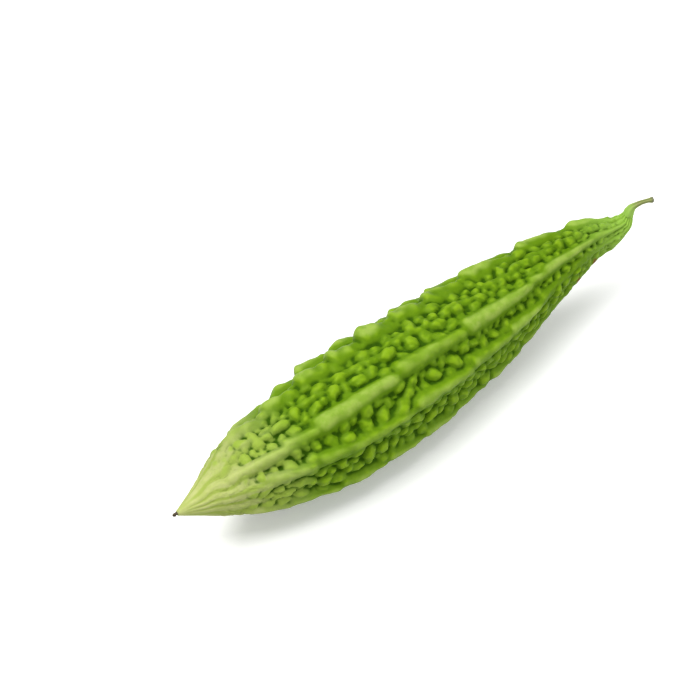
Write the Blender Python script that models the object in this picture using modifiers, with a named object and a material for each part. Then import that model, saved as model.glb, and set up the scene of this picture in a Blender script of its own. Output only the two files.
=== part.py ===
"""Bitter gourd lying on its side.

One ridged, warty fruit that grew as one piece, its thin cut stem, and the dark dried
scrap where the flower was.  Metres, +Z up.  The blossom tip points along -X and the
stem along +X.  The origin is under the middle of the whole on the resting surface.
"""
import math
import random

import bpy
import numpy as np
from mathutils import Vector, noise

MM = 0.001
SEED = 27

# Middle line of the fruit: fraction from blossom tip to stem, then x, y, z in mm
FRUIT_AXIS = [
    (0.00, -112.5, 0.0, 25.6),
    (0.10, -90.0, -0.8, 23.4),
    (0.28, -49.5, -1.8, 21.8),
    (0.38, -27.0, -1.7, 22.7),
    (0.50, 0.0, -0.4, 22.2),
    (0.60, 22.5, 0.8, 21.8),
    (0.70, 45.0, 1.6, 23.6),
    (0.80, 67.5, 2.0, 26.6),
    (0.90, 90.0, 1.4, 28.4),
    (0.95, 101.0, 0.6, 27.6),
    (0.978, 107.2, 0.3, 27.4),
    (0.99, 110.0, 0.2, 28.4),
    (1.00, 111.6, 0.2, 31.0),
]
# Radius over the ridge tops: fraction along, mm
OUTER_RADIUS = [
    (0.00, 0.8),
    (0.012, 2.1),
    (0.04, 5.0),
    (0.09, 11.0),
    (0.15, 16.8),
    (0.22, 20.8),
    (0.30, 23.6),
    (0.38, 24.4),
    (0.50, 23.8),
    (0.60, 21.8),
    (0.68, 19.2),
    (0.75, 16.2),
    (0.82, 13.0),
    (0.90, 8.8),
    (0.945, 6.4),
    (0.965, 5.2),
    (0.98, 4.3),
    (0.99, 3.4),
    (1.00, 1.7),
]
BROADEST = 24.4 * MM
FRUIT_LENGTH = 224 * MM

# Two kinds of rib: share of its length that rises and that falls, overlap with the next rib,
# slant in degrees, height of its crest at the blossom end and at the stem end, width at both,
# and how uneven the crest is
LONG_RIB = (0.12, 0.16, 0.016, 6.0, 0.95, 0.92, 1.15, 0.68, 0.14)
BLOCKY_RIB = (0.2, 0.5, 0.008, 12.0, 1.1, 0.6, 1.1, 0.85, 0.42)

# Ridges: turn at the blossom end and at the stem end, in degrees from straight down going up
# the front, then strength, kind of rib, and where the ribs begin; a ridge without a list has
# its ribs drawn at random
RIDGES = [
    ((20, 22), 0.85, LONG_RIB, None),
    ((70, 50), 0.95, LONG_RIB, (0.09, 0.17, 0.26, 0.35, 0.43, 0.51, 0.60, 0.685, 0.765, 0.83, 0.885)),
    ((124, 104), 0.95, LONG_RIB, (0.05, 0.13, 0.215, 0.408, 0.545, 0.652, 0.74, 0.83, 0.91)),
    ((157, 144), 1.0, LONG_RIB, (0.075, 0.182, 0.24, 0.407, 0.565, 0.74, 0.772, 0.892)),
    ((185, 180), 0.6, BLOCKY_RIB, None),
    ((213, 213), 1.2, BLOCKY_RIB, (0.11, 0.20, 0.278, 0.352, 0.413, 0.488, 0.563, 0.65, 0.77, 0.87)),
    ((246, 246), 1.2, BLOCKY_RIB, (0.145, 0.243, 0.313, 0.383, 0.448, 0.523, 0.605, 0.695, 0.79, 0.88)),
    ((280, 280), 0.8, BLOCKY_RIB, None),
    ((312, 312), 0.9, LONG_RIB, None),
    ((343, 343), 0.85, LONG_RIB, None),
]
FIRST_RIB = 0.06
LAST_RIB = 0.95
RIB_END = 0.975
RIB_STEP = 0.11
RIB_STEP_SPREAD = 0.035
# Profile across a rib: half width above the crest and below it, and how flat its top is
RIB_PROFILE = (5.3 * MM, 7.2 * MM, 2.0)
RIB_NARROWEST = 0.5
RIB_HEIGHT = 4.8 * MM
CREST_UNEVEN_SIZE = 4.5 * MM
RIDGE_WANDER = 2.0
RIDGE_WAVES = 1.3
RIDGE_WAVE_SHIFT = 3.7
RIDGE_SWELL = 1.5 * MM
RIDGE_SWELL_TURN = 11.0

# Warts in the valleys: radius in mm and how many places are tried for that size
WART_SIZES = [(2.9, 900), (2.45, 2500), (2.05, 5000), (1.65, 8000), (1.25, 12000), (0.95, 14000)]
WART_PACKING = 0.86
WART_SPREAD = 1.32
WART_STRETCH = 0.5
WART_RISE = 1.25
WART_ROUNDNESS = 0.55
WART_SCALE_POWER = 0.55
WART_FREE_RIB = 0.45
FIRST_WART = 0.045
LAST_WART = 0.965

# Where the relief grows out of the smooth blossom end: start and full fraction
TIP_FADE = (0.02, 0.17)
TIP_RELIEF = 0.12
STEM_FADE = (0.95, 1.0)
RELIEF_POWER = 0.8
# Bulges and a dip of the body: fraction along and its spread, turn and its spread, height
BULGES = [
    (0.115, 0.05, 222, 50, 2.2 * MM),
    (0.955, 0.028, 70, 60, 1.1 * MM),
    (0.215, 0.035, 45, 22, -1.4 * MM),
]

# Stem: fraction along, x, y, z in mm from the end of the fruit, and its radius
STEM_AXIS = [
    (0.0, 0.18, 0.0, 0.29),
    (0.18, 1.2, -0.03, 1.95),
    (0.45, 4.1, -0.6, 3.05),
    (0.75, 7.9, -1.5, 3.1),
    (1.0, 11.0, -2.4, 2.6),
]
STEM_RADIUS = [(0.0, 1.6), (0.12, 1.45), (0.3, 1.12), (0.6, 0.95), (0.86, 1.0), (0.97, 1.2), (1.0, 1.1)]
STEM_GROOVES = 5
STEM_GROOVE_DEPTH = 0.11
STEM_TWIST = 0.9
STEM_RINGS = 26
STEM_SIDES = 15

# Dried flower scrap: fraction along, x, y, z in mm from the tip of the fruit, and its radius
SCRAP_AXIS = [(0.0, -0.3, 0.0, 0.0), (0.5, -1.1, 0.1, 0.15), (1.0, -2.0, 0.0, 0.1)]
SCRAP_RADIUS = [(0.0, 0.6), (0.4, 0.8), (0.75, 0.6), (1.0, 0.38)]
SCRAP_RINGS = 7
SCRAP_SIDES = 9
SCRAP_CRUMPLE = 0.22
SCRAP_FOLDS = 3
SCRAP_TWIST = 4.0

# The relief is raised on a fine skin, which is then thinned out
FINE_RINGS = 330
FINE_SIDES = 240
FRUIT_TRIANGLES = 11400
FLAT_DEPTH = 0.6 * MM
CUTTER_SIZE = Vector((400 * MM, 200 * MM, 50 * MM))
AXIS_STEP = 0.002

FRUIT_GREEN = (0.30, 0.47, 0.07, 1.0)
STEM_GREEN = (0.25, 0.32, 0.11, 1.0)
DRY_BROWN = (0.035, 0.028, 0.015, 1.0)


def clear_scene():
    """Removes every object that the scene starts with."""
    for thing in list(bpy.data.objects):
        bpy.data.objects.remove(thing, do_unlink=True)


def make_collection(name):
    """A new collection in the scene."""
    group = bpy.data.collections.new(name)
    bpy.context.scene.collection.children.link(group)
    return group


def make_material(name, colour, roughness):
    """A plain Principled material."""
    material = bpy.data.materials.new(name)
    material.use_nodes = True
    shader = material.node_tree.nodes["Principled BSDF"]
    shader.inputs["Base Color"].default_value = colour
    shader.inputs["Roughness"].default_value = roughness
    shader.inputs["Metallic"].default_value = 0.0
    return material


def smooth_through(points, at):
    """Values at the given positions on a smooth curve through hand-set points."""
    table = np.array(points, dtype=float)
    place = table[:, 0]
    value = table[:, 1:]
    step = np.diff(place)[:, None]
    slope = np.diff(value, axis=0) / step
    tangent = np.empty_like(value)
    tangent[0] = slope[0]
    tangent[-1] = slope[-1]
    tangent[1:-1] = (slope[:-1] * step[1:] + slope[1:] * step[:-1]) / (step[1:] + step[:-1])
    left = np.clip(np.searchsorted(place, at, side="right") - 1, 0, len(place) - 2)
    width = step[left]
    t = ((at - place[left])[:, None]) / width
    start = (1 + 2 * t) * (1 - t) ** 2 * value[left] + t * (1 - t) ** 2 * width * tangent[left]
    end = t * t * (3 - 2 * t) * value[left + 1] + t * t * (t - 1) * width * tangent[left + 1]
    return start + end


def ramp(value, low, high):
    """Smooth step from 0 at low to 1 at high."""
    t = np.clip((value - low) / (high - low), 0.0, 1.0)
    return t * t * (3 - 2 * t)


def outer_radius(fraction):
    """Radius of the fruit over its ridge tops."""
    return smooth_through(OUTER_RADIUS, fraction)[:, 0] * MM


def end_fade(fraction):
    """Fades the relief out towards both ends of the fruit."""
    fade_in = TIP_RELIEF + (1 - TIP_RELIEF) * ramp(fraction, *TIP_FADE)
    fade_out = 1.0 - ramp(fraction, *STEM_FADE)
    return fade_in * fade_out


def relief_scale(fraction):
    """How strong the relief is: full on the belly, weaker where the fruit is thin."""
    return (outer_radius(fraction) / BROADEST) ** RELIEF_POWER * end_fade(fraction)


def apart(turn, other):
    """Difference of two turns in degrees, between -180 and 180."""
    return (turn - other + 180.0) % 360.0 - 180.0


def ridge_turn(turns, fraction):
    """Turn of a ridge, which runs from its first turn to its last and wanders a little."""
    first, last = turns
    wave = math.tau * RIDGE_WAVES * fraction + RIDGE_WAVE_SHIFT * math.radians(first)
    return first + (last - first) * fraction + RIDGE_WANDER * np.sin(wave)


def draw_ribs(source):
    """The overlapping ribs of every ridge: its turn, height, start, end and kind."""
    ribs = []
    for turns, strength, kind, places in RIDGES:
        overlap = kind[2]
        starts = list(places or [])
        place = FIRST_RIB + RIB_STEP * source.random()
        while places is None and place < LAST_RIB - RIB_STEP / 2:
            starts.append(place)
            place += RIB_STEP + RIB_STEP_SPREAD * source.uniform(-1, 1)
        for start, end in zip(starts, starts[1:] + [RIB_END]):
            ribs.append((turns, strength * source.uniform(0.9, 1.08), start, end + overlap, kind))
    return ribs


def rib_lift(fraction, turn, ribs, uneven):
    """Height of the ribs, as a share of the full rib height, with an uneven crest."""
    upper_width, lower_width, flatness = RIB_PROFILE
    lift = np.zeros_like(fraction)
    girth = outer_radius(fraction)
    scale = (girth / BROADEST) ** RELIEF_POWER
    for turns, strength, start, end, kind in ribs:
        rising, falling, overlap, slant, blossom_height, stem_height, blossom_width, stem_width, lumps = kind
        near = np.nonzero((fraction > start) & (fraction < end))[0]
        along = (fraction[near] - start) / (end - start)
        middle = ridge_turn(turns, fraction[near]) + slant * (0.5 - along)
        rise = np.sqrt(1 - np.clip(1 - along / rising, 0.0, 1.0) ** 2)
        fall = np.sqrt(1 - np.clip(1 - (1 - along) / falling, 0.0, 1.0) ** 2)
        taper = RIB_NARROWEST + (1 - RIB_NARROWEST) * np.minimum(rise, fall)
        taper *= blossom_width + (stem_width - blossom_width) * along
        aside = np.radians(apart(turn[near], middle)) * girth[near]
        half = np.where(aside > 0, upper_width, lower_width) * scale[near] * strength * taper
        crest = strength * rise * fall * (blossom_height + (stem_height - blossom_height) * along)
        crest *= 1 + lumps * uneven[near]
        body = 1 - np.clip(np.abs(aside) / half, 0.0, 1.0) ** flatness
        lift[near] = np.maximum(lift[near], crest * body)
    return lift


def draw_warts(source, ribs):
    """Packed warts between the ribs: fraction, turn, radius, stretch, its direction and height."""
    tries = sum(count for size, count in WART_SIZES)
    draws = np.array([[source.random() for column in range(3)] for number in range(tries)])
    places = draws[:, :2] * (LAST_WART - FIRST_WART, 360) + (FIRST_WART, 0)
    girth = outer_radius(places[:, 0])
    scale = (girth / BROADEST) ** WART_SCALE_POWER
    covered = rib_lift(places[:, 0], places[:, 1], ribs, np.zeros(tries)) > WART_FREE_RIB
    usable = ~covered & (draws[:, 2] < girth / BROADEST)
    taken = np.zeros((0, 3))
    warts = []
    number = 0
    for size, count in WART_SIZES:
        for place in range(number, number + count):
            if not usable[place]:
                continue
            radius = size * MM * scale[place]
            gap_along = (taken[:, 0] - places[place, 0]) * FRUIT_LENGTH
            gap_round = np.radians(apart(taken[:, 1], places[place, 1])) * girth[place]
            gap = np.hypot(gap_along, gap_round)
            if np.any(gap < WART_PACKING * (radius + taken[:, 2])):
                continue
            stretch = 1 + WART_STRETCH * source.uniform(0, 1)
            lean = source.uniform(0, math.pi)
            height = radius * WART_RISE * source.uniform(0.82, 1.12)
            warts.append((places[place, 0], places[place, 1], radius, stretch, lean, height))
            taken = np.vstack([taken, (places[place, 0], places[place, 1], radius)])
        number += count
    return warts


def wart_lift(fraction, turn, warts):
    """Height of the warts in metres before it fades towards the ends."""
    lift = np.zeros_like(fraction)
    order = np.argsort(fraction)
    sorted_fraction = fraction[order]
    places = np.array([wart[0] for wart in warts])
    girths = outer_radius(places)
    for wart, girth in zip(warts, girths):
        place, around, radius, stretch, lean, height = wart
        radius *= WART_SPREAD
        reach = radius * stretch / FRUIT_LENGTH
        first, last = np.searchsorted(sorted_fraction, (place - reach, place + reach))
        near = order[first:last]
        along = (fraction[near] - place) * FRUIT_LENGTH
        across = np.radians(apart(turn[near], around)) * girth
        long_way = (along * math.cos(lean) + across * math.sin(lean)) / (radius * stretch)
        short_way = (across * math.cos(lean) - along * math.sin(lean)) * math.sqrt(stretch) / radius
        inside = np.clip(1 - long_way ** 2 - short_way ** 2, 0.0, 1.0)
        lift[near] = np.maximum(lift[near], height * inside ** WART_ROUNDNESS)
    return lift


def ridge_swell(fraction, turn):
    """The flesh swells softly under every ridge, as a share of the full swell."""
    swell = np.zeros_like(fraction)
    for turns, strength, kind, places in RIDGES:
        away = apart(turn, ridge_turn(turns, fraction)) / RIDGE_SWELL_TURN
        swell = np.maximum(swell, strength * np.exp(-away * away))
    return swell


def bulge_lift(fraction, turn):
    """Height of the wide bulges of the body in metres."""
    lift = np.zeros_like(fraction)
    for place, spread, around, turn_spread, height in BULGES:
        away = ((fraction - place) / spread) ** 2 + (apart(turn, around) / turn_spread) ** 2
        lift += height * np.exp(-away)
    return lift


def drift(spots, size):
    """Smooth random vectors that change over about this distance."""
    return np.array([noise.noise_vector(Vector(spot) / size) for spot in spots])


def spots_round(fraction, turn, radius, axis):
    """Places at a radius round the middle line, each ring square to that line."""
    middle = smooth_through(axis, fraction) * MM
    ahead = smooth_through(axis, np.clip(fraction + AXIS_STEP, 0, 1))
    behind = smooth_through(axis, np.clip(fraction - AXIS_STEP, 0, 1))
    forward = ahead - behind
    forward /= np.linalg.norm(forward, axis=1)[:, None]
    sideways = np.cross((0.0, 0.0, 1.0), forward)
    sideways /= np.linalg.norm(sideways, axis=1)[:, None]
    upward = np.cross(forward, sideways)
    angle = np.radians(turn)[:, None]
    outward = -np.sin(angle) * sideways - np.cos(angle) * upward
    return middle + outward * radius[:, None]


def fruit_radius(fraction, turn, ribs, warts):
    """Radius of the fruit's skin with its ridges, ribs and warts."""
    scale = relief_scale(fraction)
    uneven = drift(spots_round(fraction, turn, outer_radius(fraction), FRUIT_AXIS), CREST_UNEVEN_SIZE)[:, 0]
    swell = RIDGE_SWELL * scale * (ridge_swell(fraction, turn) - 1) + bulge_lift(fraction, turn)
    low_skin = outer_radius(fraction) - RIB_HEIGHT * scale
    from_ribs = RIB_HEIGHT * scale * rib_lift(fraction, turn, ribs, uneven)
    from_warts = wart_lift(fraction, turn, warts) * end_fade(fraction)
    return low_skin + swell + np.maximum(from_ribs, from_warts)


def turned_skin(name, rings, sides):
    """A closed turned skin of length 1 and radius 1 along X."""
    outline = bpy.data.meshes.new(name)
    points = [(0.0, 0.0, 0.0)]
    points += [(number / rings, 0.0, 1.0) for number in range(rings + 1)]
    points += [(1.0, 0.0, 0.0)]
    edges = [(number, number + 1) for number in range(len(points) - 1)]
    outline.from_pydata(points, edges, [])
    thing = bpy.data.objects.new(name, outline)
    bpy.context.scene.collection.objects.link(thing)
    screw = thing.modifiers.new("turn", "SCREW")
    screw.axis = "X"
    screw.angle = math.tau
    screw.steps = sides
    screw.render_steps = sides
    screw.use_merge_vertices = True
    screw.merge_threshold = 0.0001
    screw.use_smooth_shade = True
    screw.use_normal_flip = True
    bpy.context.view_layer.update()
    seen = thing.evaluated_get(bpy.context.evaluated_depsgraph_get())
    skin = bpy.data.meshes.new_from_object(seen)
    bpy.data.objects.remove(thing, do_unlink=True)
    bpy.data.meshes.remove(outline)
    skin.name = name
    return skin


def place_skin(skin, axis, radius_at):
    """Moves a turned skin onto its middle line, each ring square to that line."""
    count = len(skin.vertices)
    flat = np.empty(count * 3)
    skin.vertices.foreach_get("co", flat)
    flat = flat.reshape(count, 3)
    fraction = np.clip(flat[:, 0], 0.0, 1.0)
    turn = np.degrees(np.arctan2(-flat[:, 1], -flat[:, 2])) % 360.0
    on_axis = np.hypot(flat[:, 1], flat[:, 2]) < 0.5
    radius = np.where(on_axis, 0.0, radius_at(fraction, turn))
    skin.vertices.foreach_set("co", spots_round(fraction, turn, radius, axis).ravel())
    skin.update()


def finish_part(name, mesh, material, group):
    """Puts a mesh into the scene as a named smooth part with its material."""
    mesh.materials.clear()
    mesh.materials.append(material)
    mesh.shade_smooth()
    thing = bpy.data.objects.new(name, mesh)
    group.objects.link(thing)
    return thing


def lowest(mesh):
    """Height of the lowest vertex."""
    return min(vertex.co.z for vertex in mesh.vertices)


def build_fruit(group, cutters):
    """The fruit with ridges and warts, resting on small flats on its lowest ribs."""
    source = random.Random(SEED)
    noise.seed_set(SEED)
    ribs = draw_ribs(source)
    warts = draw_warts(source, ribs)
    skin = turned_skin("fruit", FINE_RINGS, FINE_SIDES)
    place_skin(skin, FRUIT_AXIS, lambda fraction, turn: fruit_radius(fraction, turn, ribs, warts))
    fruit = finish_part("fruit", skin, make_material("fruit_skin", FRUIT_GREEN, 0.42), group)
    thin = fruit.modifiers.new("fewer_triangles", "DECIMATE")
    thin.ratio = FRUIT_TRIANGLES / (2.0 * FINE_RINGS * FINE_SIDES)
    thin.use_collapse_triangulate = True
    floor_level = lowest(skin) + FLAT_DEPTH
    box = bpy.data.meshes.new("floor_cutter")
    wide, deep, tall = CUTTER_SIZE
    heights = (floor_level - tall, floor_level)
    corners = [(x, y, z) for x in (-wide / 2, wide / 2) for y in (-deep / 2, deep / 2) for z in heights]
    faces = [(0, 1, 3, 2), (4, 6, 7, 5), (0, 4, 5, 1), (2, 3, 7, 6), (0, 2, 6, 4), (1, 5, 7, 3)]
    box.from_pydata(corners, [], faces)
    cutter = bpy.data.objects.new("floor_cutter", box)
    cutter.hide_render = True
    cutter.display_type = "WIRE"
    cutters.objects.link(cutter)
    cut = fruit.modifiers.new("resting_flats", "BOOLEAN")
    cut.operation = "DIFFERENCE"
    cut.solver = "EXACT"
    cut.object = cutter
    return fruit, cutter, floor_level


def build_stem(group):
    """The thin grooved stem, cut off square, flaring into the fruit."""
    end = FRUIT_AXIS[-1]
    axis = [(row[0], end[1] + row[1], end[2] + row[2], end[3] + row[3]) for row in STEM_AXIS]

    def radius_at(fraction, turn):
        plain = smooth_through(STEM_RADIUS, fraction)[:, 0] * MM
        wave = np.cos(np.radians(turn * STEM_GROOVES) + STEM_TWIST * fraction)
        return plain * (1 + STEM_GROOVE_DEPTH * wave)

    skin = turned_skin("stem", STEM_RINGS, STEM_SIDES)
    place_skin(skin, axis, radius_at)
    return finish_part("stem", skin, make_material("stem_green", STEM_GREEN, 0.6), group)


def build_scrap(group):
    """The crumpled dry scrap at the blossom tip."""
    start = FRUIT_AXIS[0]
    axis = [(row[0], start[1] + row[1], start[2] + row[2], start[3] + row[3]) for row in SCRAP_AXIS]

    def radius_at(fraction, turn):
        plain = smooth_through(SCRAP_RADIUS, fraction)[:, 0] * MM
        wave = np.cos(np.radians(turn * SCRAP_FOLDS) + SCRAP_TWIST * fraction)
        return plain * (1 + SCRAP_CRUMPLE * wave)

    skin = turned_skin("flower_scrap", SCRAP_RINGS, SCRAP_SIDES)
    place_skin(skin, axis, radius_at)
    return finish_part("flower_scrap", skin, make_material("dry_scrap", DRY_BROWN, 0.85), group)


def rest_on_floor(things, cutter, floor_level):
    """Moves everything so that it rests on z = 0 with its middle over the origin."""
    bpy.context.view_layer.update()
    xs = [vertex.co.x for thing in things for vertex in thing.data.vertices]
    ys = [vertex.co.y for thing in things for vertex in thing.data.vertices]
    shift = Vector((-(min(xs) + max(xs)) / 2, -(min(ys) + max(ys)) / 2, -floor_level))
    for thing in things + [cutter]:
        for vertex in thing.data.vertices:
            vertex.co += shift
        thing.data.update()


def build():
    """Builds the whole gourd."""
    clear_scene()
    group = make_collection("bitter_gourd")
    cutters = make_collection("cutters")
    cutters.hide_render = True
    fruit, cutter, floor_level = build_fruit(group, cutters)
    stem = build_stem(group)
    scrap = build_scrap(group)
    rest_on_floor([fruit, stem, scrap], cutter, floor_level)


build()
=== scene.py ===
"""Looks of the bitter gourd: its ridged and warty skin, its stem and the dried scrap at its tip."""

import math
import random

import bmesh
import bpy
import numpy as np
from mathutils import Matrix, Vector, noise


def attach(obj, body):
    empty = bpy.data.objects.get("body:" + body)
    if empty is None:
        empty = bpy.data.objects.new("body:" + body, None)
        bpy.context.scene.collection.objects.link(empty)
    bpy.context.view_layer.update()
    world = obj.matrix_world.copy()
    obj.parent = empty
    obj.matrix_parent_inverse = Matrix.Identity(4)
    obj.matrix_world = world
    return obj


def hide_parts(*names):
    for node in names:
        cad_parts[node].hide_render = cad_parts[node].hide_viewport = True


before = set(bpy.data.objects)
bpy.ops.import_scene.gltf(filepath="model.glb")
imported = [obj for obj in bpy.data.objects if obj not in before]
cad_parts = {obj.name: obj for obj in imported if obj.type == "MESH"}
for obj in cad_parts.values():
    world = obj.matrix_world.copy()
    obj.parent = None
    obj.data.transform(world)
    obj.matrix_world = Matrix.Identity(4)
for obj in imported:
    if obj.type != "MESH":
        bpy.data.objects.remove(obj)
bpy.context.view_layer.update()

MM = 0.001
SEED = 27

# Shape of the fruit, the same as in the solids
# Middle line: fraction from blossom tip to stem, then x, y, z in mm
FRUIT_AXIS = [
    (0.00, -112.5, 0.0, 25.6),
    (0.10, -90.0, -0.8, 23.4),
    (0.28, -49.5, -1.8, 21.8),
    (0.38, -27.0, -1.7, 22.7),
    (0.50, 0.0, -0.4, 22.2),
    (0.60, 22.5, 0.8, 21.8),
    (0.70, 45.0, 1.6, 23.6),
    (0.80, 67.5, 2.0, 26.6),
    (0.90, 90.0, 1.4, 28.4),
    (0.95, 101.0, 0.6, 27.6),
    (0.978, 107.2, 0.3, 27.4),
    (0.99, 110.0, 0.2, 28.4),
    (1.00, 111.6, 0.2, 31.0),
]
# Radius over the ridge tops: fraction along, mm
OUTER_RADIUS = [
    (0.00, 0.8),
    (0.012, 2.1),
    (0.04, 5.0),
    (0.09, 11.0),
    (0.15, 16.8),
    (0.22, 20.8),
    (0.30, 23.6),
    (0.38, 24.4),
    (0.50, 23.8),
    (0.60, 21.8),
    (0.68, 19.2),
    (0.75, 16.2),
    (0.82, 13.0),
    (0.90, 8.8),
    (0.945, 6.4),
    (0.965, 5.2),
    (0.98, 4.3),
    (0.99, 3.4),
    (1.00, 1.7),
]
BROADEST = 24.4 * MM
FRUIT_LENGTH = 224 * MM

# Two kinds of rib: share of its length that rises and that falls, overlap with the next rib,
# slant in degrees, height of its crest at the blossom end and at the stem end, width at both,
# and how uneven the crest is
LONG_RIB = (0.12, 0.16, 0.016, 6.0, 0.95, 0.92, 1.15, 0.68, 0.14)
BLOCKY_RIB = (0.2, 0.5, 0.008, 12.0, 1.1, 0.6, 1.1, 0.85, 0.42)

# Ridges: turn at the blossom end and at the stem end, in degrees from straight down going up
# the front, then strength, kind of rib, and where the ribs begin; a ridge without a list has
# its ribs drawn at random
RIDGES = [
    ((20, 22), 0.85, LONG_RIB, None),
    ((70, 50), 0.95, LONG_RIB, (0.09, 0.17, 0.26, 0.35, 0.43, 0.51, 0.60, 0.685, 0.765, 0.83, 0.885)),
    ((124, 104), 0.95, LONG_RIB, (0.05, 0.13, 0.215, 0.408, 0.545, 0.652, 0.74, 0.83, 0.91)),
    ((157, 144), 1.0, LONG_RIB, (0.075, 0.182, 0.24, 0.407, 0.565, 0.74, 0.772, 0.892)),
    ((185, 180), 0.6, BLOCKY_RIB, None),
    ((213, 213), 1.2, BLOCKY_RIB, (0.11, 0.20, 0.278, 0.352, 0.413, 0.488, 0.563, 0.65, 0.77, 0.87)),
    ((246, 246), 1.2, BLOCKY_RIB, (0.145, 0.243, 0.313, 0.383, 0.448, 0.523, 0.605, 0.695, 0.79, 0.88)),
    ((280, 280), 0.8, BLOCKY_RIB, None),
    ((312, 312), 0.9, LONG_RIB, None),
    ((343, 343), 0.85, LONG_RIB, None),
]
FIRST_RIB = 0.06
LAST_RIB = 0.95
RIB_END = 0.975
RIB_STEP = 0.11
RIB_STEP_SPREAD = 0.035
# Profile across a rib: half width above the crest and below it, and how flat its top is
RIB_PROFILE = (5.3 * MM, 7.2 * MM, 2.0)
RIB_NARROWEST = 0.5
RIB_HEIGHT = 4.8 * MM
RIB_STRENGTH_SPREAD = (0.9, 1.08)
RIDGE_WANDER = 2.0
RIDGE_WAVES = 1.3
RIDGE_WAVE_SHIFT = 3.7
RIDGE_SWELL = 1.5 * MM
RIDGE_SWELL_TURN = 11.0

# Warts in the valleys: radius in mm and how many places are tried for that size
WART_SIZES = [(2.9, 900), (2.45, 2500), (2.05, 5000), (1.65, 8000), (1.25, 12000), (0.95, 14000)]
WART_PACKING = 0.86
WART_STRETCH = 0.5
WART_RISE = 1.25
WART_RISE_SPREAD = (0.82, 1.12)
WART_ROUNDNESS = 0.55
WART_SCALE_POWER = 0.55
WART_FREE_RIB = 0.45
FIRST_WART = 0.045
LAST_WART = 0.965

# Where the relief grows out of the smooth blossom end: start and full fraction
TIP_FADE = (0.02, 0.17)
TIP_RELIEF = 0.12
STEM_FADE = (0.95, 1.0)
RELIEF_POWER = 0.8
# Bulges and a dip of the body: fraction along and its spread, turn and its spread, height
BULGES = [
    (0.115, 0.05, 222, 50, 2.2 * MM),
    (0.955, 0.028, 70, 60, 1.1 * MM),
    (0.215, 0.035, 45, 22, -1.4 * MM),
]

# Rings along the skin and sides round it
SKIN_RINGS = 372
SKIN_SIDES = 260
# Steps, as fractions of the length: along the middle line to find its direction, and within
# which doubled points are merged
AXIS_STEP = 0.002
DOUBLES_GAP = 0.0001
# How far the solids were moved to rest on the floor with their middle over the origin
PLACE = np.array((-4.188, 0.325, -0.667)) * MM

# Finer relief than the solids have; a pair is where along the fruit it starts to change and
# where that is complete
OUTLINE_WARP = 0.7 * MM
OUTLINE_WARP_SIZE = 3.3 * MM
FINE_WARP = 0.28 * MM
FINE_WARP_SIZE = 1.5 * MM
WART_SPREAD = 1.32
WART_ON_RIB = 0.15
RIB_WARP = 0.45
RIB_SOFTENING = 3
# The smooth skin that buries the small warts at the blossom end: depth, and where it ends
TIP_FILL = 1.75 * MM
TIP_FILL_END = (0.08, 0.21)
# How far a wart stands out of that smooth skin where its cap has its own green, and where that ends
TIP_CAP = 0.45 * MM
TIP_CAP_END = (0.12, 0.24)
PEBBLE_SIZE = 2.1 * MM
PEBBLE_HEIGHT = 1.1 * MM
PEBBLE_EDGE = 0.42
PEBBLE_ROUNDNESS = 0.7
CREST_UNEVEN_SIZE = 4.5 * MM
# How far the pale colour of a strong ridge is brought back to that of the other ridges
PALE_EVENING = 0.96
GRAIN_LIFT = 0.34 * MM
GRAIN_SIZE = 1.7 * MM
# Share of the grain that the ribs lose, between these two heights of a rib
RIB_SMOOTHNESS = 0.75
RIB_SMOOTHNESS_SPAN = (0.3, 0.75)
BODY_UNEVEN = 0.25 * MM
BODY_UNEVEN_SIZE = 11.0 * MM
BODY_UNEVEN_START = (0.0, 0.1)
RING_CREASE_DEPTH = 0.32 * MM
RING_CREASE_PLACE = 1.2
RING_CREASE_WIDTH = 0.16
RING_CREASE_REACH = 1.5
RING_CREASE_START = (0.03, 0.08)
RING_CREASE_END = (0.14, 0.3)
TIP_FOLDS = 13
TIP_FOLD_HEIGHT = 0.16 * MM
TIP_FOLD_START = (0.0, 0.05)
TIP_FOLD_END = (0.08, 0.2)
# How the folds sway: at random by this much over this distance, and in even waves round the fruit
FOLD_SWAY = 2.2
FOLD_SWAY_SIZE = 7.0 * MM
FOLD_WAVE = 2.0
FOLD_WAVES = 3
NECK_FOLDS = 15
NECK_FOLD_HEIGHT = 0.22 * MM
NECK_FOLD_START = (0.88, 0.96)
# Where the middle ridge sinks among the warts at the neck: turn and its spread, start, share
SUNKEN_RIDGE = (107, 15, (0.72, 0.79), 0.6)
# Bruised teeth on the lowest ridge in the picture: fraction along, turn, radius in mm
BRUISES = [(0.847, 55, 2.1), (0.897, 55, 2.1)]
# Marks for colour: how high a rib counts, how deep a full crease is, and how many passes of
# smoothing give the near and the wide height that tell creases from warts
# The crease mark also paints shade into the creases and a highlight onto raised tops
RIB_MARK_TOP = 1.2
CREASE_MARK_DEPTH = 0.7 * MM
NEAR_PASSES = 1
WIDE_PASSES = 14

# Stem: its middle line, as fraction along and x, y, z in mm from the end of the fruit, and its
# radius, as fraction along and mm
STEM_AXIS = [
    (0.0, -0.3, 0.0, -0.5),
    (0.18, 1.2, -0.03, 1.9),
    (0.45, 4.1, -0.6, 3.05),
    (0.75, 7.9, -1.5, 3.1),
    (1.0, 11.0, -2.4, 2.6),
]
STEM_RADIUS = [(0.0, 2.2), (0.12, 1.95), (0.3, 1.35), (0.6, 0.92), (0.86, 0.9), (0.97, 1.08), (1.0, 1.0)]
STEM_GROOVES = 5
STEM_GROOVE_DEPTH = 0.11
STEM_GROOVE_SHARPNESS = 0.8
STEM_TWIST = 0.9
STEM_ROUGHNESS = 0.12
STEM_ROUGHNESS_SIZE = 1.6 * MM
STEM_RINGS = 100
STEM_SIDES = 70
# The cut end from its rim inwards: fraction along and share of the radius
CUT_END = [(1.0, 0.94), (0.994, 0.86), (0.99, 0.7), (0.989, 0.42), (0.993, 0.34), (0.995, 0.2), (0.995, 0.0)]

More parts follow.
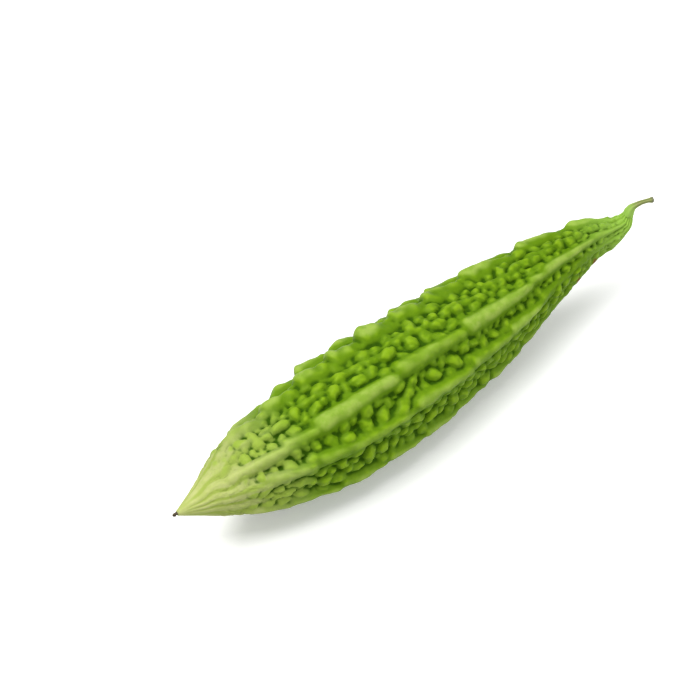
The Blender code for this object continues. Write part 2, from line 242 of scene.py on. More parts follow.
# Dried flower scrap, in the same way from the tip of the fruit
SCRAP_AXIS = [(0.0, 0.1, 0.0, 0.0), (0.5, -1.1, 0.1, 0.15), (1.0, -2.0, 0.0, 0.1)]
SCRAP_RADIUS = [(0.0, 0.55), (0.4, 0.68), (0.75, 0.52), (1.0, 0.32)]
SCRAP_RINGS = 30
SCRAP_SIDES = 36
SCRAP_CRUMPLE = 0.22
SCRAP_FOLDS = 3
SCRAP_TWIST = 4.0
SCRAP_ROUGHNESS = 0.5
SCRAP_ROUGHNESS_SIZE = 0.5 * MM

# Colours as linear red, green and blue; a pair is for the darker and the paler blotches
FLESH_GREENS = ((0.080, 0.175, 0.002), (0.115, 0.225, 0.004))
# Lighter green on raised tops: partly the warts' own paler green, partly a painted highlight
WART_GREEN_AND_HIGHLIGHT = (0.185, 0.322, 0.008)
CREST_GREENS = ((0.195, 0.322, 0.031), (0.268, 0.386, 0.063))
BLOSSOM_GREENS = ((0.36, 0.415, 0.12), (0.42, 0.455, 0.165))
BLOSSOM_STREAK = (0.29, 0.365, 0.072)
BLOSSOM_CAP = (0.255, 0.365, 0.045)
# The foot of the stem has the green of the neck too
NECK_GREEN = (0.25, 0.43, 0.06)
NECK_STREAK = (0.19, 0.34, 0.035)
# Dark green in the creases: partly the skin's own deeper green, partly painted shade
CREASE_GREEN_AND_SHADE = (0.026, 0.08, 0.001)
BRUISE_BROWN = (0.16, 0.075, 0.012)
STEM_GREENS = ((0.20, 0.235, 0.06), (0.30, 0.32, 0.11))
STEM_GROOVE_GREEN = (0.13, 0.17, 0.04)
STEM_DRY_GREEN = (0.14, 0.145, 0.085)
PITH_CREAM = (0.33, 0.31, 0.18)
SCRAP_BROWNS = ((0.016, 0.011, 0.006), (0.06, 0.04, 0.02))
SCRAP_FOLD_BROWN = (0.11, 0.08, 0.04)

# Spans of a mark over which one colour turns into the next
# Span of the crease mark for the painted highlight on raised tops
WART_AND_HIGHLIGHT_SPAN = (0.0, -0.7)
CREST_BLOTCH_SPAN = (0.35, 0.65)
CREST_SPAN = (0.68, 0.98)
GROOVE_SPAN = (0.1, -0.9)
BLOSSOM_SPAN = (0.25, 0.04)
NECK_SPAN = (0.84, 1.0)
# Span of the crease mark for the painted shade in the creases
CREASE_SHADE_SPAN = (0.05, 0.8)
BRUISE_SPAN = (0.1, 0.7)
YOUNG_STEM_SPAN = (0.5, 0.08)
DRY_STEM_SPAN = (0.86, 1.0)
PITH_SPAN = (0.9, 0.3)
SCRAP_FOLD_SPAN = (0.3, 1.0)

# Blotches: size and levels of detail; pores and fibres: size, levels of detail and depth
FLESH_BLOTCHES = (9 * MM, 3)
CREST_BLOTCHES = (4 * MM, 4)
STEM_BLOTCHES = (1.2 * MM, 3)
SCRAP_BLOTCHES = (0.7 * MM, 4)
SKIN_PORES = (0.7 * MM, 4, 0.05 * MM)
STEM_FIBRES = (0.5 * MM, 4, 0.08 * MM)

# Gloss: the skin is duller in its creases, over this span of their mark
DULL_SPAN = (-0.1, 0.5)
SKIN_ROUGHNESS = (0.43, 0.8)
SKIN_SPECULAR = 0.16
SKIN_SPECULAR_TINT = (0.9, 1.0, 0.3, 1)
SKIN_GLOW_THROUGH = 0.08
SKIN_GLOW_REACH = (0.6, 1.0, 0.25)
SKIN_GLOW_DEPTH = 2 * MM
STEM_DULLNESS = 0.6
STEM_SPECULAR = 0.3
SCRAP_DULLNESS = 0.85

# Studio: the floor as the camera sees it and as the gourd reflects it, the room, and the lamps
FLOOR_SIZE = 3.0
FLOOR_SEEN = (0.95, 0.95, 0.95)
FLOOR_REFLECTED = (0.55, 0.55, 0.55)
FLOOR_GLOW = 0.18
FLOOR_DULLNESS = 0.9
FLOOR_SPECULAR = 0.1
BLACK = (0.0, 0.0, 0.0)
WHITE = (1.0, 1.0, 1.0)
ROOM_LIGHT = 0.5
# Lamps: name, place, size and power
LAMPS = [
    ("key_from_above", (-0.40, 0.38, 1.44), 1.3, 31),
    ("fill_from_front", (0.5, -1.3, 0.4), 1.0, 9),
]

# Camera: the side and height it looks from, and where the gourd sits in the picture
CAMERA_AZIMUTH = -40.4
CAMERA_ELEVATION = 48.0
CAMERA_DISTANCE = 1.0
CAMERA_LENS = 137.0
CAMERA_AIM = Vector((-0.0202, 0.0186, 0.0272))


def smooth_through(points, at):
    """Values at the given positions on a smooth curve through listed points."""
    table = np.array(points, dtype=float)
    place = table[:, 0]
    value = table[:, 1:]
    step = np.diff(place)[:, None]
    slope = np.diff(value, axis=0) / step
    tangent = np.empty_like(value)
    tangent[0] = slope[0]
    tangent[-1] = slope[-1]
    tangent[1:-1] = (slope[:-1] * step[1:] + slope[1:] * step[:-1]) / (step[1:] + step[:-1])
    left = np.clip(np.searchsorted(place, at, side="right") - 1, 0, len(place) - 2)
    width = step[left]
    t = ((at - place[left])[:, None]) / width
    start = (1 + 2 * t) * (1 - t) ** 2 * value[left] + t * (1 - t) ** 2 * width * tangent[left]
    end = t * t * (3 - 2 * t) * value[left + 1] + t * t * (t - 1) * width * tangent[left + 1]
    return start + end


def ramp(value, low, high):
    """Smooth step from 0 at low to 1 at high."""
    t = np.clip((value - low) / (high - low), 0.0, 1.0)
    return t * t * (3 - 2 * t)


def outer_radius(fraction):
    """Radius of the fruit over its ridge tops."""
    return smooth_through(OUTER_RADIUS, fraction)[:, 0] * MM


def end_fade(fraction):
    """Fades the relief out towards both ends of the fruit."""
    fade_in = TIP_RELIEF + (1 - TIP_RELIEF) * ramp(fraction, *TIP_FADE)
    fade_out = 1.0 - ramp(fraction, *STEM_FADE)
    return fade_in * fade_out


def relief_scale(fraction):
    """How strong the relief is: full on the belly, weaker where the fruit is thin."""
    return (outer_radius(fraction) / BROADEST) ** RELIEF_POWER * end_fade(fraction)


def apart(turn, other):
    """Difference of two turns in degrees, between -180 and 180."""
    return (turn - other + 180.0) % 360.0 - 180.0


def ridge_turn(turns, fraction):
    """Turn of a ridge, which runs from its first turn to its last and wanders a little."""
    first, last = turns
    wave = math.tau * RIDGE_WAVES * fraction + RIDGE_WAVE_SHIFT * math.radians(first)
    return first + (last - first) * fraction + RIDGE_WANDER * np.sin(wave)


def draw_ribs(source):
    """The overlapping ribs of every ridge: its turn, height, start, end and kind."""
    ribs = []
    for turns, strength, kind, places in RIDGES:
        overlap = kind[2]
        starts = list(places or [])
        place = FIRST_RIB + RIB_STEP * source.random()
        while places is None and place < LAST_RIB - RIB_STEP / 2:
            starts.append(place)
            place += RIB_STEP + RIB_STEP_SPREAD * source.uniform(-1, 1)
        for start, end in zip(starts, starts[1:] + [RIB_END]):
            ribs.append((turns, strength * source.uniform(*RIB_STRENGTH_SPREAD), start, end + overlap, kind))
    return ribs


def rib_lift(fraction, turn, ribs, uneven):
    """Height of the ribs, as a share of the full rib height, with an uneven crest."""
    upper_width, lower_width, flatness = RIB_PROFILE
    lift = np.zeros_like(fraction)
    girth = outer_radius(fraction)
    scale = (girth / BROADEST) ** RELIEF_POWER
    for turns, strength, start, end, kind in ribs:
        rising, falling, overlap, slant, blossom_height, stem_height, blossom_width, stem_width, lumps = kind
        near = np.nonzero((fraction > start) & (fraction < end))[0]
        along = (fraction[near] - start) / (end - start)
        middle = ridge_turn(turns, fraction[near]) + slant * (0.5 - along)
        rise = np.sqrt(1 - np.clip(1 - along / rising, 0.0, 1.0) ** 2)
        fall = np.sqrt(1 - np.clip(1 - (1 - along) / falling, 0.0, 1.0) ** 2)
        taper = RIB_NARROWEST + (1 - RIB_NARROWEST) * np.minimum(rise, fall)
        taper *= blossom_width + (stem_width - blossom_width) * along
        aside = np.radians(apart(turn[near], middle)) * girth[near]
        half = np.where(aside > 0, upper_width, lower_width) * scale[near] * strength * taper
        crest = strength * rise * fall * (blossom_height + (stem_height - blossom_height) * along)
        crest *= 1 + lumps * uneven[near]
        body = 1 - np.clip(np.abs(aside) / half, 0.0, 1.0) ** flatness
        lift[near] = np.maximum(lift[near], crest * body)
    return lift


def draw_warts(source, ribs):
    """Packed warts between the ribs: fraction, turn, radius, stretch, its direction and height."""
    tries = sum(count for size, count in WART_SIZES)
    draws = np.array([[source.random() for column in range(3)] for number in range(tries)])
    places = draws[:, :2] * (LAST_WART - FIRST_WART, 360) + (FIRST_WART, 0)
    girth = outer_radius(places[:, 0])
    scale = (girth / BROADEST) ** WART_SCALE_POWER
    covered = rib_lift(places[:, 0], places[:, 1], ribs, np.zeros(tries)) > WART_FREE_RIB
    usable = ~covered & (draws[:, 2] < girth / BROADEST)
    taken = np.zeros((0, 3))
    warts = []
    number = 0
    for size, count in WART_SIZES:
        for place in range(number, number + count):
            if not usable[place]:
                continue
            radius = size * MM * scale[place]
            gap_along = (taken[:, 0] - places[place, 0]) * FRUIT_LENGTH
            gap_round = np.radians(apart(taken[:, 1], places[place, 1])) * girth[place]
            gap = np.hypot(gap_along, gap_round)
            if np.any(gap < WART_PACKING * (radius + taken[:, 2])):
                continue
            stretch = 1 + WART_STRETCH * source.uniform(0, 1)
            lean = source.uniform(0, math.pi)
            height = radius * WART_RISE * source.uniform(*WART_RISE_SPREAD)
            warts.append((places[place, 0], places[place, 1], radius, stretch, lean, height))
            taken = np.vstack([taken, (places[place, 0], places[place, 1], radius)])
        number += count
    return warts


def near_each_wart(fraction, turn, warts, spread, reach):
    """For every wart its height, the places near it, and how many radii along and across they lie."""
    order = np.argsort(fraction)
    sorted_fraction = fraction[order]
    girths = outer_radius(np.array([wart[0] for wart in warts]))
    for wart, girth in zip(warts, girths):
        place, around, radius, stretch, lean, height = wart
        radius *= spread
        far = reach * radius * stretch / FRUIT_LENGTH
        first, last = np.searchsorted(sorted_fraction, (place - far, place + far))
        near = order[first:last]
        along = (fraction[near] - place) * FRUIT_LENGTH
        across = np.radians(apart(turn[near], around)) * girth
        long_way = (along * math.cos(lean) + across * math.sin(lean)) / (radius * stretch)
        short_way = (across * math.cos(lean) - along * math.sin(lean)) * math.sqrt(stretch) / radius
        yield height, near, long_way, short_way


def wart_lift(fraction, turn, warts):
    """Height of the warts in metres before it fades towards the ends."""
    lift = np.zeros_like(fraction)
    for height, near, long_way, short_way in near_each_wart(fraction, turn, warts, WART_SPREAD, 1.0):
        inside = np.clip(1 - long_way ** 2 - short_way ** 2, 0.0, 1.0)
        lift[near] = np.maximum(lift[near], height * inside ** WART_ROUNDNESS)
    return lift


def ring_crease(fraction, turn, warts):
    """The narrow crease round the foot of every wart, from 0 to 1."""
    crease = np.zeros_like(fraction)
    for height, near, long_way, short_way in near_each_wart(fraction, turn, warts, 1.0, RING_CREASE_REACH):
        off = (np.hypot(long_way, short_way) - RING_CREASE_PLACE) / RING_CREASE_WIDTH
        crease[near] = np.maximum(crease[near], np.exp(-off * off))
    return crease


def bulge_lift(fraction, turn):
    """Height of the wide bulges of the body in metres."""
    lift = np.zeros_like(fraction)
    for place, spread, around, turn_spread, height in BULGES:
        away = ((fraction - place) / spread) ** 2 + (apart(turn, around) / turn_spread) ** 2
        lift += height * np.exp(-away)
    return lift


def drift(spots, size):
    """Smooth random vectors that change over about this distance."""
    return np.array([noise.noise_vector(Vector(spot) / size) for spot in spots])


def pebbles(spots, size):
    """Small rounded pebbles with creases between them, from 0 to 1."""
    heights = np.empty(len(spots))
    for number, spot in enumerate(spots):
        nearest = noise.voronoi(Vector(spot) / size)[0]
        heights[number] = nearest[1] - nearest[0]
    return ramp(heights, 0.0, PEBBLE_EDGE) ** PEBBLE_ROUNDNESS


def ridge_swell(fraction, turn):
    """The flesh swells softly under every ridge, as a share of the full swell."""
    swell = np.zeros_like(fraction)
    for turns, strength, kind, places in RIDGES:
        away = apart(turn, ridge_turn(turns, fraction)) / RIDGE_SWELL_TURN
        swell = np.maximum(swell, strength * np.exp(-away * away))
    return swell


def nearest_strength(fraction, turn):
    """Strength of the nearest ridge."""
    nearest = np.full_like(fraction, 180.0)
    found = np.zeros_like(fraction)
    for turns, strength, kind, places in RIDGES:
        away = np.abs(apart(turn, ridge_turn(turns, fraction)))
        found = np.where(away < nearest, strength, found)
        nearest = np.minimum(away, nearest)
    return found


def even_profile(rings):
    """A profile from pole to pole: fraction along and share of the radius, in even steps."""
    return [(0.0, 0.0)] + [(number / rings, 1.0) for number in range(rings + 1)] + [(1.0, 0.0)]


def turned_skin(profile, sides):
    """A closed skin turned round X, with each vertex's fraction along, turn and share of the radius."""
    skin = bmesh.new()
    line = [skin.verts.new((fraction, 0.0, share)) for fraction, share in profile]
    edges = [skin.edges.new(pair) for pair in zip(line, line[1:])]
    bmesh.ops.spin(skin, geom=line + edges, cent=(0, 0, 0), axis=(1, 0, 0), angle=math.tau, steps=sides,
                   use_merge=True)
    bmesh.ops.remove_doubles(skin, verts=skin.verts, dist=DOUBLES_GAP)
    bmesh.ops.recalc_face_normals(skin, faces=skin.faces)
    spots = np.array([vertex.co for vertex in skin.verts])
    fraction = np.clip(spots[:, 0], 0.0, 1.0)
    turn = np.degrees(np.arctan2(-spots[:, 1], -spots[:, 2])) % 360.0
    share = np.hypot(spots[:, 1], spots[:, 2])
    return skin, fraction, turn, share


def spots_round(fraction, turn, radius, axis):
    """Places at a radius round the middle line, each ring square to that line."""
    middle = smooth_through(axis, fraction) * MM
    ahead = smooth_through(axis, np.clip(fraction + AXIS_STEP, 0, 1))
    behind = smooth_through(axis, np.clip(fraction - AXIS_STEP, 0, 1))
    forward = ahead - behind
    forward /= np.linalg.norm(forward, axis=1)[:, None]
    sideways = np.cross((0.0, 0.0, 1.0), forward)
    sideways /= np.linalg.norm(sideways, axis=1)[:, None]
    upward = np.cross(forward, sideways)
    angle = np.radians(turn)[:, None]
    outward = -np.sin(angle) * sideways - np.cos(angle) * upward
    return middle + outward * radius[:, None]


def place_skin(skin, spots):
    """Moves a skin's vertices to their places on the resting gourd."""
    for vertex, spot in zip(skin.verts, spots + PLACE):
        vertex.co = spot


def press_level(skin):
    """Presses what would reach under the floor level with it."""
    for vertex in skin.verts:
        vertex.co.z = max(vertex.co.z, 0.0)


def finish_piece(name, skin, material, node, marks):
    """Makes the finished skin a piece that stands for its node, with its marks as attributes."""
    mesh = bpy.data.meshes.new(name)
    skin.to_mesh(mesh)
    skin.free()
    mesh.shade_smooth()
    mesh.materials.append(material)
    for mark, values in marks.items():
        mesh.attributes.new(mark, "FLOAT", "POINT").data.foreach_set("value", values.astype(np.float32))
    piece = bpy.data.objects.new(name, mesh)
    bpy.context.scene.collection.objects.link(piece)
    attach(piece, "root")
    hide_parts(node)


def soften(values, fraction, turn, passes):
    """The same values after some passes of smoothing over the fruit skin's own grid."""
    ring = np.rint(fraction * SKIN_RINGS).astype(int)
    side = np.rint(turn / 360.0 * SKIN_SIDES).astype(int) % SKIN_SIDES
    grid = np.zeros((SKIN_RINGS + 1, SKIN_SIDES))
    grid[ring, side] = values
    for number in range(passes):
        padded = np.vstack([grid[:1], grid, grid[-1:]])
        aside = np.roll(grid, 1, axis=1) + np.roll(grid, -1, axis=1)
        grid = (padded[:-2] + padded[2:] + aside + 2 * grid) / 6
    return grid[ring, side]


def warp_places(plain, fraction, turn, girth):
    """Fraction and turn after a random warp, which makes the outlines of warts irregular."""
    warp = OUTLINE_WARP * drift(plain, OUTLINE_WARP_SIZE) + FINE_WARP * drift(plain, FINE_WARP_SIZE)
    warp *= end_fade(fraction)[:, None]
    return fraction + warp[:, 0] / FRUIT_LENGTH, turn + np.degrees(warp[:, 1] / girth)


def soft_ribs(plain, fraction, turn, warped, warped_turn, ribs):
    """Ribs with soft edges that follow part of the warp, as a share of the full rib height."""
    uneven = drift(plain, CREST_UNEVEN_SIZE)[:, 0]
    rib_fraction = fraction + RIB_WARP * (warped - fraction)
    rib_turn = turn + RIB_WARP * (warped_turn - turn)
    rib = soften(rib_lift(rib_fraction, rib_turn % 360.0, ribs, uneven), fraction, turn, RIB_SOFTENING)
    around, spread, sinking, share_lost = SUNKEN_RIDGE
    rib *= 1 - share_lost * ramp(fraction, *sinking) * np.exp(-(apart(turn, around) / spread) ** 2)
    return rib


def end_folds(plain, fraction, turn):
    """Height of the fine folds that run into the blossom tip, and of those that run into the neck."""
    sway = FOLD_SWAY * drift(plain, FOLD_SWAY_SIZE)[:, 0] + FOLD_WAVE * np.sin(np.radians(turn * FOLD_WAVES))
    tip = TIP_FOLD_HEIGHT * np.cos(np.radians(turn * TIP_FOLDS) + sway)
    tip *= ramp(fraction, *TIP_FOLD_START) * (1 - ramp(fraction, *TIP_FOLD_END))
    neck = NECK_FOLD_HEIGHT * np.cos(np.radians(turn * NECK_FOLDS) + sway) * ramp(fraction, *NECK_FOLD_START)
    return tip, neck


def bruise_mark(fraction, turn, girth):
    """Where the teeth are bruised brown, from 0 to 1."""
    mark = np.zeros_like(fraction)
    for place, around, radius in BRUISES:
        along = (fraction - place) * FRUIT_LENGTH
        across = np.radians(apart(turn, around)) * girth
        mark = np.maximum(mark, np.clip(1 - np.hypot(along, across) / (radius * MM), 0.0, 1.0))
    return mark


def make_fruit_skin():
    """The fruit's skin at full detail, with its marks for colour."""
    source = random.Random(SEED)
    ribs = draw_ribs(source)
    warts = draw_warts(source, ribs)
    skin, fraction, turn, share = turned_skin(even_profile(SKIN_RINGS), SKIN_SIDES)
    girth = outer_radius(fraction)
    scale = relief_scale(fraction)
    fade = end_fade(fraction)
    plain = spots_round(fraction, turn, share * girth, FRUIT_AXIS)
    warped, warped_turn = warp_places(plain, fraction, turn, girth)

    # Ribs, warts, the pebbles between them and the smooth skin of the tip: the highest one counts
    rib = soft_ribs(plain, fraction, turn, warped, warped_turn, ribs)
    ridge = RIB_HEIGHT * scale * rib
    wart = wart_lift(warped, warped_turn % 360.0, warts) * fade
    pebble = PEBBLE_HEIGHT * scale * pebbles(plain, PEBBLE_SIZE)
    fill = TIP_FILL * fade * (1 - ramp(fraction, *TIP_FILL_END))
    relief = np.maximum(ridge, wart) + WART_ON_RIB * np.minimum(ridge, wart)
    relief = np.maximum(relief, np.maximum(pebble, fill))

    # Creases, folds and grain on top, and the body below
    ring = RING_CREASE_DEPTH * ring_crease(warped, warped_turn % 360.0, warts)
    ring *= ramp(fraction, *RING_CREASE_START) * (1 - ramp(fraction, *RING_CREASE_END))
    tip_folds, neck_folds = end_folds(plain, fraction, turn)
    grainy = GRAIN_LIFT * drift(plain, GRAIN_SIZE)[:, 1] * fade
    grainy *= 1 - RIB_SMOOTHNESS * ramp(rib, *RIB_SMOOTHNESS_SPAN)
    swell = RIDGE_SWELL * scale * (ridge_swell(fraction, turn) - 1)
    lift = swell + relief + tip_folds + neck_folds + grainy - ring
    body = BODY_UNEVEN * drift(plain, BODY_UNEVEN_SIZE)[:, 2] * ramp(fraction, *BODY_UNEVEN_START)
    body += bulge_lift(fraction, turn)
    radius = share * (girth - RIB_HEIGHT * scale + lift + body)
    place_skin(skin, spots_round(fraction, turn, radius, FRUIT_AXIS))
    press_level(skin)

    # The near and the wide height give the crease mark, which paints shade into creases and a highlight onto
    # raised tops
    near = soften(lift, fraction, turn, NEAR_PASSES)
    wide = soften(lift, fraction, turn, WIDE_PASSES)
    evened = rib / np.maximum(1.0, PALE_EVENING * nearest_strength(fraction, turn))
    capped = ramp(wart - np.maximum(fill, ridge), 0.0, TIP_CAP)
    marks = {
        "rib": np.clip(evened, 0.0, RIB_MARK_TOP),
        "crease": np.clip((wide - near) / CREASE_MARK_DEPTH, -1.0, 1.0),
        "along": fraction,
        "fold": tip_folds / TIP_FOLD_HEIGHT + neck_folds / NECK_FOLD_HEIGHT,
        "bruise": bruise_mark(fraction, turn, girth),
        "cap": capped * (1 - ramp(fraction, *TIP_CAP_END)),
    }
    finish_piece("gourd_skin", skin, skin_material(), "fruit", marks)


def make_stem():
    """The grooved stem with its flared foot and its cut end with a pith."""
    end = FRUIT_AXIS[-1]
    axis = [(row[0], end[1] + row[1], end[2] + row[2], end[3] + row[3]) for row in STEM_AXIS]
    profile = even_profile(STEM_RINGS)[:-1] + CUT_END
    skin, fraction, turn, share = turned_skin(profile, STEM_SIDES)
    wave = np.cos(np.radians(turn * STEM_GROOVES) + STEM_TWIST * fraction)
    groove = np.sign(wave) * np.abs(wave) ** STEM_GROOVE_SHARPNESS
    plain = smooth_through(STEM_RADIUS, fraction)[:, 0] * MM
    straight = spots_round(fraction, turn, share * plain, axis)
    rough = STEM_ROUGHNESS * drift(straight, STEM_ROUGHNESS_SIZE)[:, 0]
    radius = share * plain * (1 + STEM_GROOVE_DEPTH * groove + rough)
    place_skin(skin, spots_round(fraction, turn, radius, axis))
    marks = {"groove": groove, "along": fraction, "across": share}
    finish_piece("cut_stem", skin, stem_material(), "stem", marks)


def make_scrap():
    """The crumpled dry scrap at the blossom tip."""
    start = FRUIT_AXIS[0]
    axis = [(row[0], start[1] + row[1], start[2] + row[2], start[3] + row[3]) for row in SCRAP_AXIS]
    skin, fraction, turn, share = turned_skin(even_profile(SCRAP_RINGS), SCRAP_SIDES)
    plain = smooth_through(SCRAP_RADIUS, fraction)[:, 0] * MM
    wave = np.cos(np.radians(turn * SCRAP_FOLDS) + SCRAP_TWIST * fraction)
    straight = spots_round(fraction, turn, share * plain, axis)
    rough = SCRAP_ROUGHNESS * drift(straight, SCRAP_ROUGHNESS_SIZE)[:, 0]
    radius = share * plain * (1 + SCRAP_CRUMPLE * wave + rough)
    place_skin(skin, spots_round(fraction, turn, radius, axis))
    finish_piece("dry_scrap", skin, scrap_material(), "flower_scrap", {"fold": wave})


def mix_colours(tree, share, first, second):
    """A colour between two, by a share from 0 to 1."""
    node = tree.nodes.new("ShaderNodeMix")
    node.data_type = "RGBA"
    tree.links.new(share, node.inputs["Factor"])
    for socket, value in ((node.inputs["A"], first), (node.inputs["B"], second)):
        if isinstance(value, tuple):
            socket.default_value = (*value, 1)
        else:
            tree.links.new(value, socket)
    return node.outputs["Result"]


def mark_node(tree, name):
    """Reads one of the skin's marks."""
    node = tree.nodes.new("ShaderNodeAttribute")
    node.attribute_name = name
    return node.outputs["Fac"]


def remap(tree, value, span, result=(0.0, 1.0), curve="SMOOTHSTEP"):
    """Stretches a value so that the ends of the span become the two results."""
    node = tree.nodes.new("ShaderNodeMapRange")
    node.interpolation_type = curve
    node.inputs["From Min"].default_value = span[0]
    node.inputs["From Max"].default_value = span[1]
    node.inputs["To Min"].default_value = result[0]
    node.inputs["To Max"].default_value = result[1]
    tree.links.new(value, node.inputs["Value"])
    return node.outputs["Result"]


def new_group(name, inputs, output, kind):
    """A node group with its named inputs, its output, and cloudy noise on object coordinates."""
    group = bpy.data.node_groups.new(name, "ShaderNodeTree")
    for label in inputs:
        group.interface.new_socket(label, in_out="INPUT", socket_type="NodeSocketFloat")
    group.interface.new_socket(output, in_out="OUTPUT", socket_type=kind)
    given = group.nodes.new("NodeGroupInput")
    place = group.nodes.new("ShaderNodeTexCoord")
    cloud = group.nodes.new("ShaderNodeTexNoise")
    group.links.new(place.outputs["Object"], cloud.inputs["Vector"])
    group.links.new(given.outputs["Scale"], cloud.inputs["Scale"])
    group.links.new(given.outputs["Detail"], cloud.inputs["Detail"])
    return group, given, cloud.outputs["Fac"], group.nodes.new("NodeGroupOutput")


def make_blotches_group():
    """The blotches that every material has: a share that changes from place to place."""
    group, given, cloud, result = new_group("blotches", ("Scale", "Detail"), "Share", "NodeSocketFloat")
    group.links.new(cloud, result.inputs["Share"])


def make_grain_group():
    """The fine grain of skin and stem: a normal that a bump of some depth turns aside."""
    inputs = ("Scale", "Detail", "Depth")
    group, given, cloud, result = new_group("grain", inputs, "Normal", "NodeSocketVector")
    bump = group.nodes.new("ShaderNodeBump")
    bump.inputs["Strength"].default_value = 1.0
    group.links.new(given.outputs["Depth"], bump.inputs["Distance"])
    group.links.new(cloud, bump.inputs["Height"])
    group.links.new(bump.outputs["Normal"], result.inputs["Normal"])


def blotches(tree, size, detail):
    """Places the blotches in a material, about this large."""
    node = tree.nodes.new("ShaderNodeGroup")
    node.node_tree = bpy.data.node_groups["blotches"]
    node.inputs["Scale"].default_value = 1 / size
    node.inputs["Detail"].default_value = detail
    return node.outputs["Share"]


def grain(tree, size, detail, depth):
    """Places the grain in a material, of this size and depth."""
    node = tree.nodes.new("ShaderNodeGroup")
    node.node_tree = bpy.data.node_groups["grain"]
    node.inputs["Scale"].default_value = 1 / size
    node.inputs["Detail"].default_value = detail
    node.inputs["Depth"].default_value = depth
    return node.outputs["Normal"]


def new_material(name):
    """A material with only its Principled shader and output."""
    material = bpy.data.materials.new(name)
    material.use_nodes = True
    return material, material.node_tree, material.node_tree.nodes["Principled BSDF"]


def skin_material():
    """Fresh green skin: pale on ribs and at the blossom tip, deep green between the warts, with painted
    shade in the creases and a painted highlight on raised tops.
    """
    material, tree, shader = new_material("fresh_gourd_skin")
    crease = mark_node(tree, "crease")
    along = mark_node(tree, "along")
    flesh = mix_colours(tree, blotches(tree, *FLESH_BLOTCHES), *FLESH_GREENS)
    # Raised tops lighter: partly the warts' own paler green, partly a painted highlight
    raised_and_lit = mix_colours(tree, remap(tree, crease, WART_AND_HIGHLIGHT_SPAN), flesh, WART_GREEN_AND_HIGHLIGHT)
    patch = remap(tree, blotches(tree, *CREST_BLOTCHES), CREST_BLOTCH_SPAN)
    pale = mix_colours(tree, patch, *CREST_GREENS)
    crest = mix_colours(tree, remap(tree, mark_node(tree, "rib"), CREST_SPAN), raised_and_lit, pale)
    streak = remap(tree, mark_node(tree, "fold"), GROOVE_SPAN)
    streaked = mix_colours(tree, streak, mix_colours(tree, patch, *BLOSSOM_GREENS), BLOSSOM_STREAK)
    blossom = mix_colours(tree, remap(tree, along, BLOSSOM_SPAN), crest, streaked)
    capped = mix_colours(tree, mark_node(tree, "cap"), blossom, BLOSSOM_CAP)
    neck = mix_colours(tree, streak, NECK_GREEN, NECK_STREAK)
    whole = mix_colours(tree, remap(tree, along, NECK_SPAN), capped, neck)
    # Creases darker: partly the skin's own deeper green, partly painted shade
    crease_shaded = mix_colours(tree, remap(tree, crease, CREASE_SHADE_SPAN), whole, CREASE_GREEN_AND_SHADE)
    bruise = remap(tree, mark_node(tree, "bruise"), BRUISE_SPAN)
    tree.links.new(mix_colours(tree, bruise, crease_shaded, BRUISE_BROWN), shader.inputs["Base Color"])
    tree.links.new(grain(tree, *SKIN_PORES), shader.inputs["Normal"])
    tree.links.new(remap(tree, crease, DULL_SPAN, SKIN_ROUGHNESS, "LINEAR"), shader.inputs["Roughness"])
    shader.inputs["Specular IOR Level"].default_value = SKIN_SPECULAR
    shader.inputs["Specular Tint"].default_value = SKIN_SPECULAR_TINT
    shader.inputs["Subsurface Weight"].default_value = SKIN_GLOW_THROUGH
    shader.inputs["Subsurface Radius"].default_value = SKIN_GLOW_REACH
    shader.inputs["Subsurface Scale"].default_value = SKIN_GLOW_DEPTH
    return material


def stem_material():
    """Olive-green stem, greyer towards the cut, with a pale pith in the cut end."""
    material, tree, shader = new_material("olive_stem")
    along = mark_node(tree, "along")
    plain = mix_colours(tree, blotches(tree, *STEM_BLOTCHES), *STEM_GREENS)
    lined = mix_colours(tree, remap(tree, mark_node(tree, "groove"), GROOVE_SPAN), plain, STEM_GROOVE_GREEN)
    young = mix_colours(tree, remap(tree, along, YOUNG_STEM_SPAN), lined, NECK_GREEN)
    dried = mix_colours(tree, remap(tree, along, DRY_STEM_SPAN), young, STEM_DRY_GREEN)
    cut = mix_colours(tree, remap(tree, mark_node(tree, "across"), PITH_SPAN), dried, PITH_CREAM)
    tree.links.new(cut, shader.inputs["Base Color"])
    tree.links.new(grain(tree, *STEM_FIBRES), shader.inputs["Normal"])
    shader.inputs["Roughness"].default_value = STEM_DULLNESS
    shader.inputs["Specular IOR Level"].default_value = STEM_SPECULAR
    return material


def scrap_material():
    """Dry, dark brown flower remains with paler edges."""
    material, tree, shader = new_material("dried_flower")
    mottled = mix_colours(tree, blotches(tree, *SCRAP_BLOTCHES), *SCRAP_BROWNS)
    edge = remap(tree, mark_node(tree, "fold"), SCRAP_FOLD_SPAN)
    edged = mix_colours(tree, edge, mottled, SCRAP_FOLD_BROWN)
    tree.links.new(edged, shader.inputs["Base Color"])
    shader.inputs["Roughness"].default_value = SCRAP_DULLNESS
    return material


def make_floor():
    """A plain pale floor that runs far past the picture."""
    floor = bmesh.new()
    bmesh.ops.create_grid(floor, x_segments=1, y_segments=1, size=FLOOR_SIZE)
    mesh = bpy.data.meshes.new("pale_floor")
    floor.to_mesh(mesh)
    floor.free()
    material, tree, shader = new_material("pale_floor")
    seen = tree.nodes.new("ShaderNodeLightPath").outputs["Is Camera Ray"]
    tree.links.new(mix_colours(tree, seen, FLOOR_REFLECTED, FLOOR_SEEN), shader.inputs["Base Color"])
    tree.links.new(mix_colours(tree, seen, BLACK, WHITE), shader.inputs["Emission Color"])
    shader.inputs["Emission Strength"].default_value = FLOOR_GLOW
    shader.inputs["Roughness"].default_value = FLOOR_DULLNESS
    shader.inputs["Specular IOR Level"].default_value = FLOOR_SPECULAR
    mesh.materials.append(material)
    thing = bpy.data.objects.new("pale_floor", mesh)
    bpy.context.scene.collection.objects.link(thing)


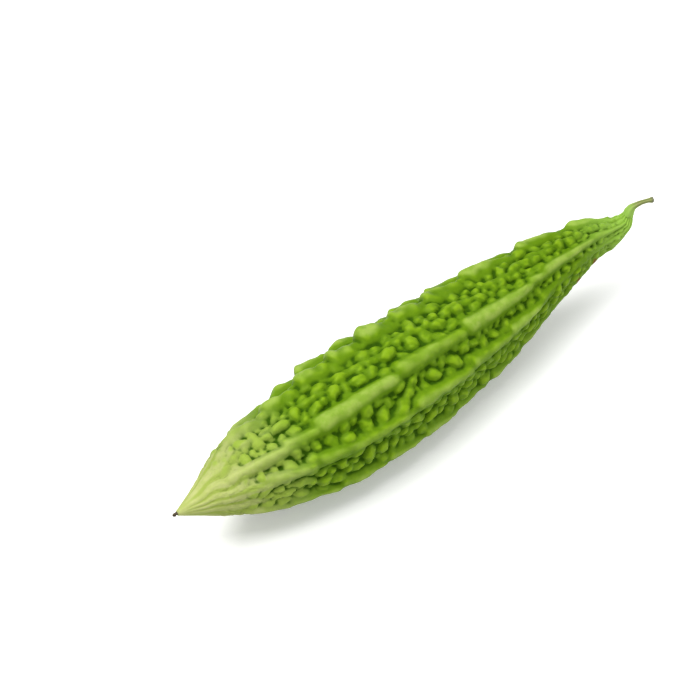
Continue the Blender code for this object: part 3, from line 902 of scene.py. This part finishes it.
def make_light(name, place, size, power):
    """A soft square lamp aimed at the gourd."""
    lamp = bpy.data.lights.new(name, "AREA")
    lamp.size = size
    lamp.energy = power
    thing = bpy.data.objects.new(name, lamp)
    thing.location = place
    thing.rotation_euler = (CAMERA_AIM - Vector(place)).to_track_quat("-Z", "Y").to_euler()
    bpy.context.scene.collection.objects.link(thing)


def make_studio():
    """Floor, soft lamps and a white surrounding."""
    make_floor()
    for name, place, size, power in LAMPS:
        make_light(name, place, size, power)
    world = bpy.data.worlds.new("white_room")
    world.use_nodes = True
    nodes = world.node_tree.nodes
    links = world.node_tree.links
    soft = nodes["Background"]
    soft.inputs["Color"].default_value = (*WHITE, 1)
    soft.inputs["Strength"].default_value = ROOM_LIGHT
    seen = nodes.new("ShaderNodeBackground")
    seen.inputs["Color"].default_value = (*WHITE, 1)
    path = nodes.new("ShaderNodeLightPath")
    choice = nodes.new("ShaderNodeMixShader")
    links.new(path.outputs["Is Camera Ray"], choice.inputs["Fac"])
    links.new(soft.outputs["Background"], choice.inputs[1])
    links.new(seen.outputs["Background"], choice.inputs[2])
    links.new(choice.outputs["Shader"], nodes["World Output"].inputs["Surface"])
    bpy.context.scene.world = world
    bpy.context.scene.view_settings.view_transform = "Standard"


def make_camera():
    """The camera at the photograph's viewing angle."""
    side = math.radians(CAMERA_AZIMUTH)
    height = math.radians(CAMERA_ELEVATION)
    back = Vector((math.sin(side) * math.cos(height), -math.cos(side) * math.cos(height), math.sin(height)))
    right = Vector((math.cos(side), math.sin(side), 0))
    camera = bpy.data.cameras.new("camera")
    camera.lens = CAMERA_LENS
    thing = bpy.data.objects.new("camera", camera)
    turned = Matrix((right, back.cross(right), back)).transposed().to_4x4()
    thing.matrix_world = Matrix.Translation(CAMERA_AIM + back * CAMERA_DISTANCE) @ turned
    bpy.context.scene.collection.objects.link(thing)
    bpy.context.scene.camera = thing


noise.seed_set(SEED)
make_blotches_group()
make_grain_group()
make_fruit_skin()
make_stem()
make_scrap()
make_studio()
make_camera()
